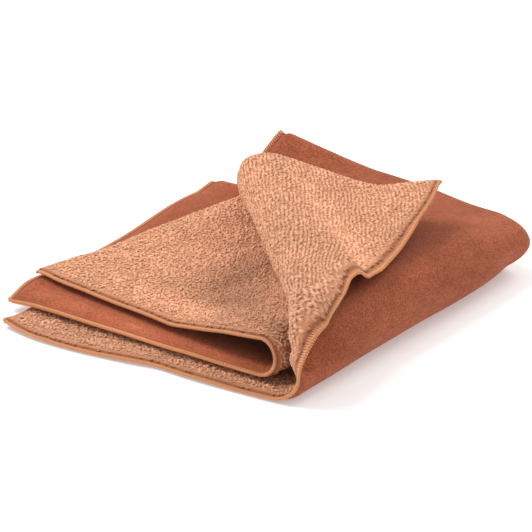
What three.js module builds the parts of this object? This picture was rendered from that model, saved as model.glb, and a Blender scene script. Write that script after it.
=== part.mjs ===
// Microfibre cleaning cloth, folded in half from the back, in half again from the
// right, with the front corner of its top layer turned back.
// The cloth is two plies bonded face to face, smooth suede on one side and looped
// pile on the other, and an overlock seam of looper and needle threads binds each edge.
// Units are millimetres. +Z is up, X runs along the front edge of the lowest layer
// and Y from its front to its back. The cloth lies on the plane z = 0.

import * as THREE from 'three';

const { clamp, degToRad, lerp, smoothstep } = THREE.MathUtils;

// The flat cloth. Its corner (0, 0) becomes the front left corner of the lowest layer.
const clothWidth = 300;
const clothLength = 312;

// Sewing draws the two sides in between the corners, and the two ends bulge a little.
const sideDrawIn = 3.5;
const sideDrawRun = 39;
const endBulge = 1.4;
const endBulgeRun = 20;

// Thickness. An offset is measured from the bond between the plies: the suede side is
// negative and the pile side is positive.
const touchGap = 0.3;
const suedeThickness = 2;
const pileThickness = 1.8;
const suedeDepth = touchGap / 2 + suedeThickness;
const pileDepth = touchGap / 2 + pileThickness;

// Overlock seam. The looper threads wrap the pressed edge of both plies, and the needle
// thread runs on the suede side, just inside them.
const threadThickness = 0.35;
const pressedSuede = 0.5;
const pressedPile = 0.5;
const seamWidth = 2.4;
const needleWidth = 0.8;
const rawEdgeGap = 0.5;
const edgeInset = threadThickness + rawEdgeGap;
const needleStart = seamWidth + touchGap;
const seamZone = needleStart + needleWidth + touchGap;
const pressEnd = seamZone + 2 * suedeThickness;
const pressedSuedeDepth = touchGap / 2 + pressedSuede;
const pressedPileDepth = touchGap / 2 + pressedPile;
const threadSuedeDepth = pressedSuedeDepth + touchGap;
const threadPileDepth = pressedPileDepth + touchGap;
const seamSuedeDepth = threadSuedeDepth + threadThickness;
const seamPileDepth = threadPileDepth + threadThickness;

// The underside is pressed flat where the cloth lies on the table.
const footCut = 0.5;
const bondHeight = Math.max(suedeDepth - footCut, seamSuedeDepth);

// Back fold: the far half comes forward over the near half, pile inside. Radii are
// those of the bond. The roll is widest at the cloth's two ends.
const backFoldShift = 1.7;
const backFoldLine = clothLength / 2 + backFoldShift;
const backFoldTilt = degToRad(1.2);
const backRollLeftRadius = 3.3;
const backRollMiddleRadius = 2.7;
const backRollRightRadius = 3;
const backRollTaper = 130;
const backFoldTuck = degToRad(12);
const backFoldHollowRadius = 10;
const pileAir = 0.5;
const packSpacing = 2 * pileDepth + pileAir;

// Half fold: the right half comes over to the left, suede inside. The inner layers
// form a round loop that stops short of the outer ones.
const loopRadius = 5.6;
const halfRollRadius = loopRadius + suedeDepth + packSpacing;
const halfRollGrowth = 2.7;
const halfFoldShift = -0.3;
const halfFoldLine = clothWidth / 2 - (halfRollRadius * Math.PI) / 2 + halfFoldShift;
const halfFoldTilt = degToRad(5.9);
const halfFoldTuck = degToRad(8.3);
const halfFoldHollowRadius = 40;
const suedeAir = 1.5;
const stackSpacing = 2 * packSpacing + 2 * suedeDepth + suedeAir;
const layerSlip = 12;
const slipRun = 50;
const slipRecovery = 110;

// The stack settles: it sinks at its right back corner. At the left end of the upper
// back roll the top layer stands up and out over the one below.
const sagShare = 0.46;
const sagStart = 60;
const sagRun = 110;
const sagReach = 83;
const backRise = 15;
const backRiseLead = 12.3;
const backRiseRun = 35;
const backJut = 19;
const backJutLead = 38;
const backJutRun = 40;
const backJutFade = 12;
const backEndWidth = 38;

// Corner fold: a slanting roll turns the front corner of the top layer back over it,
// suede against suede. It is tight at the front edge and wide at its far end.
const cornerFoldShift = 3.4;
const cornerFoldStart = clothWidth / 2 - cornerFoldShift;
const cornerFoldAngle = degToRad(39.5);
const cornerRollFrontRadius = 4.6;
const cornerRollBackRadius = 14.5;
const cornerRollRun = 207;
const cornerRollFrontTuck = degToRad(28);
const cornerRollBackTuck = degToRad(7.3);
const cornerHollowRadius = 26.8;
const cornerBow = 4.1;
const cornerBowLength = 38.7;
const cornerBowFade = 16;
const flapAir = 0.5;
const flapSpacing = 2 * suedeDepth + flapAir;
const flapLift = 9.1;
const flapLiftStart = 50;
const flapLiftRun = 70;
const tipCurl = 11.6;
const tipCurlStart = 60;
const tipCurlRun = 45;

// A crease in the flap runs side by side with its roll. The flap bulges before it, most
// at the front edge, falls part of the way at it and the rest after it. The flap's front
// edge is pulled in there.
const creasePlace = 44;
const creaseBulge = 6.5;
const creaseBulgeRun = 24;
const creaseFall = 6;
const creaseFallShare = 0.6;
const creaseRestRun = 25;
const creaseFadeStart = 55;
const creaseFadeRun = 60;
const edgePull = 4;
const edgePullPlace = 200;
const edgePullReach = 28;
const edgePullDepth = 45;

const softStep = (value, start, run) => smoothstep(value, start, start + run);

// A share that is 0 at both ends of a length and 1 past a run from either.
const betweenEnds = (value, length, run) => softStep(value, 0, run) * softStep(length - value, 0, run);

// One bulb-shaped turn of a sheet: an arc past half a turn, a straight run back down
// and a hollow arc that lays the sheet at its rest height. The distance is measured
// past the fold line along the bond, the height from the bond of the outermost layer,
// and layer is the bond height of the layer that the point belongs to.
function turn(distance, height, layer, { radius, tuck, hollowRadius, spacing }) {
  const sine = Math.sin(tuck);
  const cosine = Math.cos(tuck);
  const arc = (radius - layer) * (Math.PI + tuck);
  const drop = radius * (1 + cosine) - hollowRadius * (1 - cosine) - spacing;
  const run = Math.max(0, drop / sine);
  const hollowArc = (hollowRadius + layer) * tuck;
  const past = distance - arc - run;
  if (past > 0) {
    const angle = tuck - Math.min(past, hollowArc) / (hollowRadius + layer);
    const reach = (hollowRadius + radius) * sine + run * cosine + Math.max(0, past - hollowArc);
    const centre = radius + (radius + hollowRadius) * cosine - run * sine;
    return [
      (hollowRadius + height) * Math.sin(angle) - reach,
      centre - (hollowRadius + height) * Math.cos(angle),
    ];
  }
  const angle = clamp(distance, 0, arc) / (radius - layer);
  const straight = Math.max(0, distance - arc);
  return [
    Math.min(distance, 0) + (radius - height) * Math.sin(angle) - straight * cosine,
    radius - (radius - height) * Math.cos(angle) - straight * sine,
  ];
}

// The corner fold, in the plane of the flat cloth. Returns the new place and offset.
function turnCorner(across, along, offset) {
  const sine = Math.sin(cornerFoldAngle);
  const cosine = Math.cos(cornerFoldAngle);
  const ahead = across - cornerFoldStart;
  const up = ahead * cosine + along * sine;
  const reach = Math.max(0, up);
  const bow = cornerBow * Math.sin((Math.PI * reach) / cornerBowLength) * Math.exp(-reach / cornerBowFade);
  const past = ahead * sine - along * cosine - bow;
  const growth = softStep(up, 0, cornerRollRun);
  const [forward, height] = turn(past, -offset, 0, {
    radius: lerp(cornerRollFrontRadius, cornerRollBackRadius, growth),
    tuck: lerp(cornerRollFrontTuck, cornerRollBackTuck, growth),
    hollowRadius: cornerHollowRadius,
    spacing: flapSpacing + flapLift * softStep(up, flapLiftStart, flapLiftRun),
  });
  const curl = tipCurl * Math.max(0, (past - tipCurlStart) / tipCurlRun) ** 2;
  const climb = softStep(past, creasePlace - creaseFall - creaseBulgeRun, creaseBulgeRun);
  const fall = softStep(past, creasePlace - creaseFall, creaseFall);
  const rest = softStep(past, creasePlace, creaseRestRun);
  const swell = climb - lerp(rest, fall, creaseFallShare);
  const bulge = creaseBulge * swell * (1 - softStep(up, creaseFadeStart, creaseFadeRun));
  return [
    cornerFoldStart + up * cosine + (forward + bow) * sine,
    up * sine - (forward + bow) * cosine,
    -curl - bulge - height,
  ];
}

// The place in space of a point of the cloth, given across and along the flat cloth
// and off its bond.
function foldedPoint(across, along, offset) {
  const drawIn = sideDrawIn * betweenEnds(along, clothLength, sideDrawRun);
  const bulge = endBulge * betweenEnds(across, clothWidth, endBulgeRun);
  const atPull = betweenEnds(across - edgePullPlace + edgePullReach, 2 * edgePullReach, edgePullReach);
  const pull = edgePull * atPull * (1 - softStep(along, 0, edgePullDepth));
  const drawnAcross = across + drawIn * (1 - (2 * across) / clothWidth);
  const drawnAlong = along - bulge * (1 - (2 * along) / clothLength) + pull;
  const [cornerX, cornerY, cornerOffset] = turnCorner(drawnAcross, drawnAlong, offset);

  const backSine = Math.sin(backFoldTilt);
  const backCosine = Math.cos(backFoldTilt);
  const pastBack = cornerX * backSine + (cornerY - backFoldLine) * backCosine;
  const alongBack = cornerX * backCosine - (cornerY - backFoldLine) * backSine;
  const leftShare = 1 - softStep(drawnAcross, 0, backRollTaper);
  const rightShare = softStep(drawnAcross, clothWidth - backRollTaper, backRollTaper);
  const backShape = {
    radius:
      backRollMiddleRadius +
      (backRollLeftRadius - backRollMiddleRadius) * leftShare +
      (backRollRightRadius - backRollMiddleRadius) * rightShare,
    tuck: backFoldTuck,
    hollowRadius: backFoldHollowRadius,
    spacing: packSpacing,
  };
  const [backward, height] = turn(pastBack, cornerOffset, 0, backShape);
  const layer = turn(pastBack, 0, 0, backShape)[1];
  const x = alongBack * backCosine + backward * backSine;
  const y = backFoldLine - alongBack * backSine + backward * backCosine;

  const halfSine = Math.sin(halfFoldTilt);
  const halfCosine = Math.cos(halfFoldTilt);
  const slip = layerSlip * softStep(pastBack, 0, slipRun);
  const pastHalf = (x - halfFoldLine) * halfCosine - y * halfSine + slip;
  const alongHalf = (x - halfFoldLine) * halfSine + y * halfCosine;
  const [sideways, stackHeight] = turn(pastHalf, height, layer, {
    radius: halfRollRadius + halfRollGrowth * softStep(alongHalf, 0, backFoldLine),
    tuck: halfFoldTuck,
    hollowRadius: halfFoldHollowRadius,
    spacing: stackSpacing,
  });
  const atBackEnd = softStep(pastHalf, clothWidth / 2 - backEndWidth, backEndWidth);
  const rise = backRise * atBackEnd * softStep(alongHalf, backFoldLine - backRiseLead, backRiseRun);
  const atTop = 1 - softStep(pastBack, 0, backJutFade);
  const jut = backJut * atTop * atBackEnd * softStep(alongHalf, backFoldLine - backJutLead, backJutRun);
  const slipBack = slip * (1 - 2 * softStep(pastHalf, halfRollRadius, slipRecovery));
  const eased = sideways - slipBack - jut;
  const toRight = softStep(sideways, -sagReach, 2 * sagReach);
  const sag = sagShare * toRight * softStep(alongHalf, sagStart, sagRun);
  const settled = stackHeight > 0 ? stackHeight * (1 - sag) : stackHeight;
  return new THREE.Vector3(
    halfFoldLine + eased * halfCosine + alongHalf * halfSine,
    alongHalf * halfCosine - eased * halfSine,
    Math.max(0, bondHeight + settled + rise),
  );
}

// Numbers after from, up to and including to. The steps grow where power is over 1.
const spread = (from, to, count, power = 1) =>
  Array.from({ length: count }, (_, i) => lerp(from, to, ((i + 1) / count) ** power));

// Grid lines over the flat cloth, close together where it bends.
const rollGridReach = 4.95;
const loopStart = halfFoldLine - layerSlip;
const halfRollEnd = halfFoldLine + Math.PI * halfRollRadius + backFoldLine * Math.tan(halfFoldTilt);
const backRollStart = backFoldLine - clothWidth * Math.tan(backFoldTilt);
const backRollEnd = backFoldLine + rollGridReach * backRollLeftRadius;
const acrossLines = [
  edgeInset,
  seamZone,
  pressEnd,
  ...spread(pressEnd, loopStart, 2),
  ...spread(loopStart, halfRollEnd, 10),
  ...spread(halfRollEnd, clothWidth - pressEnd, 4, 1.3),
  clothWidth - seamZone,
  clothWidth - seamWidth,
  clothWidth - edgeInset,
];
const alongLines = [
  edgeInset,
  seamWidth,
  seamZone,
  pressEnd,
  ...spread(pressEnd, backRollStart, 10, 1.15),
  ...spread(backRollStart, backRollEnd, 9),
  ...spread(backRollEnd, clothLength - pressEnd, 3, 1.6),
  clothLength - seamZone,
  clothLength - edgeInset,
];

// A closed geometry from points and triangles, with its faces turned outward.
function closedGeometry(points, triangles) {
  const volume = triangles.reduce(
    (sum, [a, b, c]) => sum + points[a].dot(points[b].clone().cross(points[c])),
    0,
  );
  const outward = volume > 0 ? triangles : triangles.map(([a, b, c]) => [a, c, b]);
  const geometry = new THREE.BufferGeometry().setFromPoints(points);
  geometry.setIndex(outward.flat());
  geometry.computeVertexNormals();
  return geometry;
}

// True within the seam's zone along any edge of the cloth.
const inSeam = (across, along) =>
  Math.min(across, clothWidth - across, along, clothLength - along) < seamZone + touchGap;

// A ply: a slab over the grid between two offsets, each a function of the place.
function plyGeometry(lowerOffset, upperOffset) {
  const rows = alongLines.length;
  const columns = acrossLines.length;
  const sheet = (offset) =>
    acrossLines.flatMap((across) =>
      alongLines.map((along) => foldedPoint(across, along, offset(across, along))),
    );
  const points = [...sheet(lowerOffset), ...sheet(upperOffset)];
  const top = rows * columns;
  const at = (i, j) => i * rows + j;
  const triangles = [];
  for (let i = 0; i < columns - 1; i += 1) {
    for (let j = 0; j < rows - 1; j += 1) {
      const [a, b, c, d] = [at(i, j), at(i + 1, j), at(i + 1, j + 1), at(i, j + 1)];
      triangles.push([a, c, b], [a, d, c]);
      triangles.push([top + a, top + b, top + c], [top + a, top + c, top + d]);
    }
  }
  const wall = (a, b) => triangles.push([a, b, top + b], [a, top + b, top + a]);
  const farWall = (a, b) => triangles.push([a, top + b, b], [a, top + a, top + b]);
  for (let i = 0; i < columns - 1; i += 1) {
    wall(at(i, 0), at(i + 1, 0));
    farWall(at(i, rows - 1), at(i + 1, rows - 1));
  }
  for (let j = 0; j < rows - 1; j += 1) {
    farWall(at(0, j), at(0, j + 1));
    wall(at(columns - 1, j), at(columns - 1, j + 1));
  }
  return closedGeometry(points, triangles);
}

// The four edges of the flat cloth. Each gives the place of a point at a distance in
// from the edge and a length along it. Inward is true where the grid runs inward.
const edges = {
  left: {
    lines: alongLines,
    length: clothLength,
    place: (inset, run) => [inset, run],
    inward: true,
  },
  right: {
    lines: alongLines,
    length: clothLength,
    place: (inset, run) => [clothWidth - inset, run],
    inward: false,
  },
  first: {
    lines: acrossLines,
    length: clothWidth,
    place: (inset, run) => [run, inset],
    inward: true,
  },
  last: {
    lines: acrossLines,
    length: clothWidth,
    place: (inset, run) => [run, clothLength - inset],
    inward: false,
  },
};

// Thread laid along an edge: a section of [inset, offset] points swept along the
// edge's grid lines between two margins, with its faces split the way the plies' are.
function seamGeometry({ lines, length, place, inward }, section, margin) {
  const between = lines.filter((line) => line > margin && line < length - margin);
  const stations = [margin, ...between, length - margin];
  const corners = section.length;
  const points = stations.flatMap((run) =>
    section.map(([inset, offset]) => foldedPoint(...place(inset, run), offset)),
  );
  const triangles = [];
  for (let k = 0; k < stations.length - 1; k += 1) {
    for (let m = 0; m < corners; m += 1) {
      const next = (m + 1) % corners;
      const [a, b] = [k * corners + m, k * corners + next];
      const [c, d] = [b + corners, a + corners];
      const [step, rise] = [0, 1].map((axis) => section[next][axis] - section[m][axis]);
      const climbs = step === 0 ? rise > 0 : step > 0 === inward;
      triangles.push(...(climbs ? [[a, b, c], [a, c, d]] : [[a, b, d], [b, c, d]]));
    }
  }
  const outline = section.map(([inset, offset]) => new THREE.Vector2(inset, offset));
  const cap = THREE.ShapeUtils.triangulateShape(outline, []);
  const clockwise = THREE.ShapeUtils.isClockWise(outline);
  const last = (stations.length - 1) * corners;
  for (const [a, b, c] of cap) {
    triangles.push(clockwise ? [a, b, c] : [a, c, b]);
    triangles.push(clockwise ? [last + a, last + c, last + b] : [last + a, last + b, last + c]);
  }
  return closedGeometry(points, triangles);
}

// The looper threads' section wraps the edge; the needle thread's is a flat ribbon.
const looperSection = [
  [seamWidth, -seamSuedeDepth],
  [seamWidth, -threadSuedeDepth],
  [edgeInset, -threadSuedeDepth],
  [threadThickness, -threadSuedeDepth],
  [threadThickness, threadPileDepth],
  [edgeInset, threadPileDepth],
  [seamWidth, threadPileDepth],
  [seamWidth, seamPileDepth],
  [edgeInset, seamPileDepth],
  [0, seamPileDepth],
  [0, -seamSuedeDepth],
  [edgeInset, -seamSuedeDepth],
];
const needleSection = [
  [needleStart, -seamSuedeDepth],
  [needleStart + needleWidth, -seamSuedeDepth],
  [needleStart + needleWidth, -threadSuedeDepth],
  [needleStart, -threadSuedeDepth],
];

const suede = new THREE.MeshStandardMaterial({ color: '#9c5a3f', roughness: 0.95, metalness: 0 });
const pile = new THREE.MeshStandardMaterial({ color: '#d3987a', roughness: 1, metalness: 0 });
const looperThread = new THREE.MeshStandardMaterial({ color: '#c98252', roughness: 0.8, metalness: 0 });
const needleThread = new THREE.MeshStandardMaterial({ color: '#a8643c', roughness: 0.8, metalness: 0 });

const cloth = new THREE.Group();

function add(name, geometry, material) {
  const mesh = new THREE.Mesh(geometry, material);
  mesh.name = name;
  cloth.add(mesh);
}

add(
  'suede_ply',
  plyGeometry(
    (across, along) => (inSeam(across, along) ? -pressedSuedeDepth : -suedeDepth),
    () => -touchGap / 2,
  ),
  suede,
);
add(
  'pile_ply',
  plyGeometry(
    () => touchGap / 2,
    (across, along) => (inSeam(across, along) ? pressedPileDepth : pileDepth),
  ),
  pile,
);
for (const [name, edge] of Object.entries(edges)) {
  const looperMargin = edge.lines === acrossLines ? needleStart : 0;
  add(`looper_threads_${name}`, seamGeometry(edge, looperSection, looperMargin), looperThread);
  add(`needle_thread_${name}`, seamGeometry(edge, needleSection, seamZone), needleThread);
}

// The origin is the centre of the cloth's outline, on the table.
const outline = new THREE.Box3().setFromObject(cloth).getCenter(new THREE.Vector3());
cloth.position.set(-outline.x, -outline.y, 0);

export default cloth;
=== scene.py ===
import math

import bmesh
import bpy
import numpy as np
from mathutils import Matrix, Vector


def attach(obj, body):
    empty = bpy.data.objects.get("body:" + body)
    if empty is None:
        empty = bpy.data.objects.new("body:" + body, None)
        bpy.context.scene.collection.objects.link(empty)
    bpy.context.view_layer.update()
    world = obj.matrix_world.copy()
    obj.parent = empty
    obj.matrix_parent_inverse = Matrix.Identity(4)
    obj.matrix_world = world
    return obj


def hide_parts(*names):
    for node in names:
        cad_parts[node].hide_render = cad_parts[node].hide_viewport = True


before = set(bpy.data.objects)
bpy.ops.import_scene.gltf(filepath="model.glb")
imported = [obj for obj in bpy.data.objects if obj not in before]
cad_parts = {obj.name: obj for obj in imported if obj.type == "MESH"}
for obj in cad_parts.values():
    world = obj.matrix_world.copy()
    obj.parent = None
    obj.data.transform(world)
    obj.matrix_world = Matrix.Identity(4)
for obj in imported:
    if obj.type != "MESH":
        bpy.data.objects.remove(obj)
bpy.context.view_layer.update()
mm = 0.001


# The suede ply: a brushed microfibre fabric, cut square and bonded face to face to
# the looped pile. It is sewn while it lies flat and then folded with the rest, so
# every piece here is made flat, in (across, along, off the bond), and then folded.
cloth_width = 300 * mm
cloth_length = 312 * mm
side_draw_in = 3.5 * mm
side_draw_reach = 39 * mm
end_bulge = 1.4 * mm
end_bulge_reach = 20 * mm
suede_depth = 2.15 * mm
pile_depth = 1.95 * mm
bond_gap = 0.15 * mm
bond_height = 1.65 * mm
outline_centre = (78.6934 * mm, 91.1745 * mm)
edge_curl = 1.6 * mm
edge_curl_reach = 6 * mm
waviness = 0.22 * mm
# The length of the ripples along each side of the cloth, and of the bends in them.
ripples = ((8.3 * mm, 31 * mm), (11.7 * mm, 27 * mm))
ripple_bend = 2

# The back fold. Here and below, a name that ends in "run" says where a change starts
# and over how far it grows.
back_fold_line = cloth_length / 2 + 1.7 * mm
back_fold_tilt = math.radians(1.2)
back_roll_radii = (3.3 * mm, 2.7 * mm, 3.0 * mm)
back_roll_taper = 130 * mm
back_roll_tuck = math.radians(12)
back_roll_hollow = 10 * mm
pack_spacing = 2 * pile_depth + 0.5 * mm

# The half fold, the slip of its layers, the sag of the stack at its right back corner,
# and the way the back roll stands up and out at its left end.
half_roll_radius = 5.6 * mm + suede_depth + pack_spacing
half_roll_growth = 2.7 * mm
half_roll_tuck = math.radians(8.3)
half_roll_hollow = 40 * mm
half_fold_line = cloth_width / 2 - half_roll_radius * math.pi / 2 - 0.3 * mm
half_fold_tilt = math.radians(5.9)
stack_spacing = 2 * pack_spacing + 2 * suede_depth + 1.5 * mm
layer_slip = 12 * mm
slip_run = (0, 50 * mm)
slip_return_run = (half_roll_radius, 110 * mm)
sag_share = 0.46
sag_run_along = (60 * mm, 110 * mm)
sag_run_sideways = (-83 * mm, 166 * mm)
back_end_run = (cloth_width / 2 - 38 * mm, 38 * mm)
back_rise = 15 * mm
back_rise_run = (back_fold_line - 12.3 * mm, 35 * mm)
back_jut = 19 * mm
back_jut_run = (back_fold_line - 38 * mm, 40 * mm)
back_jut_end_run = (0, 12 * mm)

# The slanting roll of the front corner, and the corner turned back past it.
corner_fold_start = cloth_width / 2 - 3.4 * mm
corner_fold_angle = math.radians(39.5)
corner_roll_radii = (4.6 * mm, 14.5 * mm)
corner_roll_tucks = (math.radians(28), math.radians(7.3))
corner_roll_run = (0, 207 * mm)
corner_roll_hollow = 26.8 * mm
corner_bow = 4.1 * mm
corner_bow_length = 38.7 * mm
corner_bow_fade = 16 * mm
flap_spacing = 2 * suede_depth + 0.5 * mm
flap_lift = 9.1 * mm
flap_lift_run = (50 * mm, 70 * mm)
tip_curl = 11.6 * mm
tip_curl_run = (60 * mm, 45 * mm)
edge_pull = 4 * mm
edge_pull_span = (172 * mm, 228 * mm)
edge_pull_fade = 28 * mm
edge_pull_depth = 45 * mm

# The crease pressed into that corner. The cloth swells before it, falls steeply there
# and comes to rest past it.
crease_place = 44 * mm
crease_shift = 0.5 * mm
crease_run = (30 * mm, 40 * mm)
crease_end_run = (95 * mm, 35 * mm)
crease_press = 0.4
crease_press_reach = 4 * mm
crease_groove = 0.8 * mm
crease_groove_reach = 1.3 * mm
crease_bulge = 6.5 * mm
climb_run = (crease_place - 30 * mm, 24 * mm)
fall_run = (crease_place - 6 * mm, 6 * mm)
fall_share = 0.6
rest_run = (crease_place, 25 * mm)
bulge_end_run = (55 * mm, 60 * mm)

# How the cloth settled after folding: a place on the flat cloth, its reach, and how far
# it moved in X, Y and Z.
settled_places = (
    (300, 100, 36, -2.1, -1.2, 1.5),
    (300, 0, 30, 1.5, 0.6, 2.4),
    (300, 152, 16, -1.4, -0.8, -0.5),
    (290, 154, 9, 0.0, 0.0, -0.6),
    (268, 155, 12, 0.0, 0.0, 1.2),
    (212, 155, 20, 0.0, 0.0, -2.4),
    (200, 155, 14, 0.0, 0.0, -0.9),
    (188, 155, 10, 0.0, 0.0, -0.8),
    (176, 156, 9, 1.0, 0.4, 0.0),
    (161, 151, 13, -2.4, 0.8, 0.6),
    (142, 60, 50, -1.3, 0.0, 0.0),
    (140, 0, 24, -0.7, 0.8, 0.0),
    (184, 0, 9, -1.2, -0.6, 0.0),
    (176, 0, 7, -1.1, -0.4, 0.0),
    (164, 0, 8, 0.8, 0.2, 0.0),
    (157, 13, 9, -5.5, 0.0, 0.0),
    (168, 22, 12, -2.0, 0.0, 0.0),
    (152, 7, 5, -5.0, 0.0, 0.0),
    (164, 9, 6, -2.5, 0.0, 0.0),
    (194, 0, 9, 1.3, 0.8, 0.0),
    (30, 0, 34, 2.4, -3.4, 0.0),
    (130, 0, 12, 0.3, -0.8, 0.0),
    (0, 0, 7, -1.0, 0.6, 1.6),
    (0, 312, 11, -1.0, -0.4, -2.6),
    (0, 299, 8, -1.0, 0.0, 0.6),
    (76, 0, 10, -0.4, 1.2, 0.0),
    (108, 0, 24, 0.4, -1.0, 0.0),
    (215, 262, 30, 0.0, 0.0, -1.6),
    (300, 312, 24, -1.4, -0.8, 0.8),
    (300, 250, 30, -0.3, 0.0, 0.8),
    (0, 290, 22, -0.4, 0.0, 2.2),
    (0, 195, 24, 0.0, 0.0, 1.3),
    (6, 164, 16, 0.0, 0.0, -1.9),
)


def soft_step(value, start, run):
    """Rises smoothly from 0 to 1, from a start over a run."""
    share = np.clip((value - start) / run, 0, 1)
    return share * share * (3 - 2 * share)


def turn(distance, height, layer, radius, tuck, hollow, spacing):
    """A bulb-shaped turn: an arc, a straight run back down, and a hollow arc at rest."""
    sine, cosine = np.sin(tuck), np.cos(tuck)
    arc = (radius - layer) * (math.pi + tuck)
    run = np.maximum(radius * (1 + cosine) - hollow * (1 - cosine) - spacing, 0) / sine
    hollow_arc = (hollow + layer) * tuck
    past = distance - arc - run
    angle = np.clip(distance, 0, arc) / (radius - layer)
    straight = np.maximum(distance - arc, 0)
    near = np.minimum(distance, 0) + (radius - height) * np.sin(angle) - straight * cosine
    near_height = radius - (radius - height) * np.cos(angle) - straight * sine
    angle = tuck - np.minimum(past, hollow_arc) / (hollow + layer)
    reach = (hollow + radius) * sine + run * cosine + np.maximum(past - hollow_arc, 0)
    centre = radius + (radius + hollow) * cosine - run * sine
    far = (hollow + height) * np.sin(angle) - reach
    far_height = centre - (hollow + height) * np.cos(angle)
    return np.where(past > 0, far, near), np.where(past > 0, far_height, near_height)


def turn_corner(across, along, offset):
    """The front corner of the top layer rolls back over it, suede to suede."""
    sine, cosine = math.sin(corner_fold_angle), math.cos(corner_fold_angle)
    ahead = across - corner_fold_start
    up = ahead * cosine + along * sine
    from_crease = ahead * sine - along * cosine - crease_place - crease_shift
    on_crease = soft_step(up, *crease_run) * (1 - soft_step(up, *crease_end_run))
    near_crease = np.exp(-((from_crease / crease_press_reach) ** 2))
    pressed = 1 - crease_press * on_crease * near_crease
    offset = np.where(offset > 0, offset * pressed, offset)
    in_groove = np.exp(-((from_crease / crease_groove_reach) ** 2))
    offset = offset - crease_groove * on_crease * in_groove
    reach = np.maximum(0, up)
    bow = corner_bow * np.sin(math.pi * reach / corner_bow_length)
    bow = bow * np.exp(-reach / corner_bow_fade)
    past = ahead * sine - along * cosine - bow
    growth = soft_step(up, *corner_roll_run)
    radius = corner_roll_radii[0] + (corner_roll_radii[1] - corner_roll_radii[0]) * growth
    tuck = corner_roll_tucks[0] + (corner_roll_tucks[1] - corner_roll_tucks[0]) * growth
    spacing = flap_spacing + flap_lift * soft_step(up, *flap_lift_run)
    forward, height = turn(past, -offset, 0, radius, tuck, corner_roll_hollow, spacing)
    curl_start, curl_run = tip_curl_run
    curl = tip_curl * np.maximum(0, (past - curl_start) / curl_run) ** 2
    climb = soft_step(past, *climb_run)
    fall = soft_step(past, *fall_run)
    rest = soft_step(past, *rest_run)
    swell = climb - rest - fall_share * (fall - rest)
    bulge = crease_bulge * swell * (1 - soft_step(up, *bulge_end_run))
    return (
        corner_fold_start + up * cosine + (forward + bow) * sine,
        up * sine - (forward + bow) * cosine,
        -curl - bulge - height,
    )


def folded(flat):
    """Where points of the flat cloth lie once it is folded, in the part's frame."""
    across, along, offset = np.asarray(flat, dtype=float).T
    moved = np.zeros((len(across), 3))
    for to_side, to_back, reach, *move in settled_places:
        away = np.hypot(across / mm - to_side, along / mm - to_back) / reach
        moved = moved + np.exp(-(away**2))[:, None] * np.array(move) * mm
    curl = np.clip(1 - (cloth_width - across) / edge_curl_reach, 0, 1) ** 2
    (wave_across, bend_along), (wave_along, bend_across) = ripples
    wave = np.sin(across / wave_across + ripple_bend * np.sin(along / bend_along))
    wave = wave * np.sin(along / wave_along + ripple_bend * np.sin(across / bend_across))
    offset = offset - edge_curl * curl + waviness * wave
    draw_in = soft_step(along, 0, side_draw_reach)
    draw_in = draw_in * soft_step(cloth_length - along, 0, side_draw_reach)
    bulge = soft_step(across, 0, end_bulge_reach)
    bulge = bulge * soft_step(cloth_width - across, 0, end_bulge_reach)
    pull_start, pull_end = edge_pull_span
    pull = soft_step(across, pull_start, edge_pull_fade)
    pull = pull * soft_step(-across, -pull_end, edge_pull_fade)
    pull = edge_pull * pull * (1 - soft_step(along, 0, edge_pull_depth))
    drawn_along = along - end_bulge * bulge * (1 - 2 * along / cloth_length) + pull
    across = across + side_draw_in * draw_in * (1 - 2 * across / cloth_width)
    corner_x, corner_y, corner_offset = turn_corner(across, drawn_along, offset)

    sine, cosine = math.sin(back_fold_tilt), math.cos(back_fold_tilt)
    past_back = corner_x * sine + (corner_y - back_fold_line) * cosine
    along_back = corner_x * cosine - (corner_y - back_fold_line) * sine
    left, middle, right = back_roll_radii
    at_left = 1 - soft_step(across, 0, back_roll_taper)
    at_right = soft_step(across, cloth_width - back_roll_taper, back_roll_taper)
    radius = middle + (left - middle) * at_left + (right - middle) * at_right
    back_turn = (radius, back_roll_tuck, back_roll_hollow, pack_spacing)
    backward, height = turn(past_back, corner_offset, 0, *back_turn)
    layer = turn(past_back, 0 * corner_offset, 0, *back_turn)[1]
    x = along_back * cosine + backward * sine
    y = back_fold_line - along_back * sine + backward * cosine

    sine, cosine = math.sin(half_fold_tilt), math.cos(half_fold_tilt)
    slip = layer_slip * soft_step(past_back, *slip_run)
    past_half = (x - half_fold_line) * cosine - y * sine + slip
    along_half = (x - half_fold_line) * sine + y * cosine
    radius = half_roll_radius + half_roll_growth * soft_step(along_half, 0, back_fold_line)
    sideways, stack = turn(
        past_half, height, layer, radius, half_roll_tuck, half_roll_hollow, stack_spacing
    )
    at_back_end = soft_step(past_half, *back_end_run)
    rise = back_rise * at_back_end * soft_step(along_half, *back_rise_run)
    jut = back_jut * at_back_end * soft_step(along_half, *back_jut_run)
    jut = jut * (1 - soft_step(past_back, *back_jut_end_run))
    eased = sideways - slip * (1 - 2 * soft_step(past_half, *slip_return_run)) - jut
    sag = sag_share * soft_step(along_half, *sag_run_along)
    sag = sag * soft_step(sideways, *sag_run_sideways)
    x = half_fold_line + eased * cosine + along_half * sine - outline_centre[0]
    y = along_half * cosine - eased * sine - outline_centre[1]
    z = bond_height + np.where(stack > 0, stack * (1 - sag), stack) + rise
    lying = np.stack([x, y, z], axis=-1) + moved
    lying[:, 2] = np.maximum(lying[:, 2], 0)
    return lying


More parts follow.
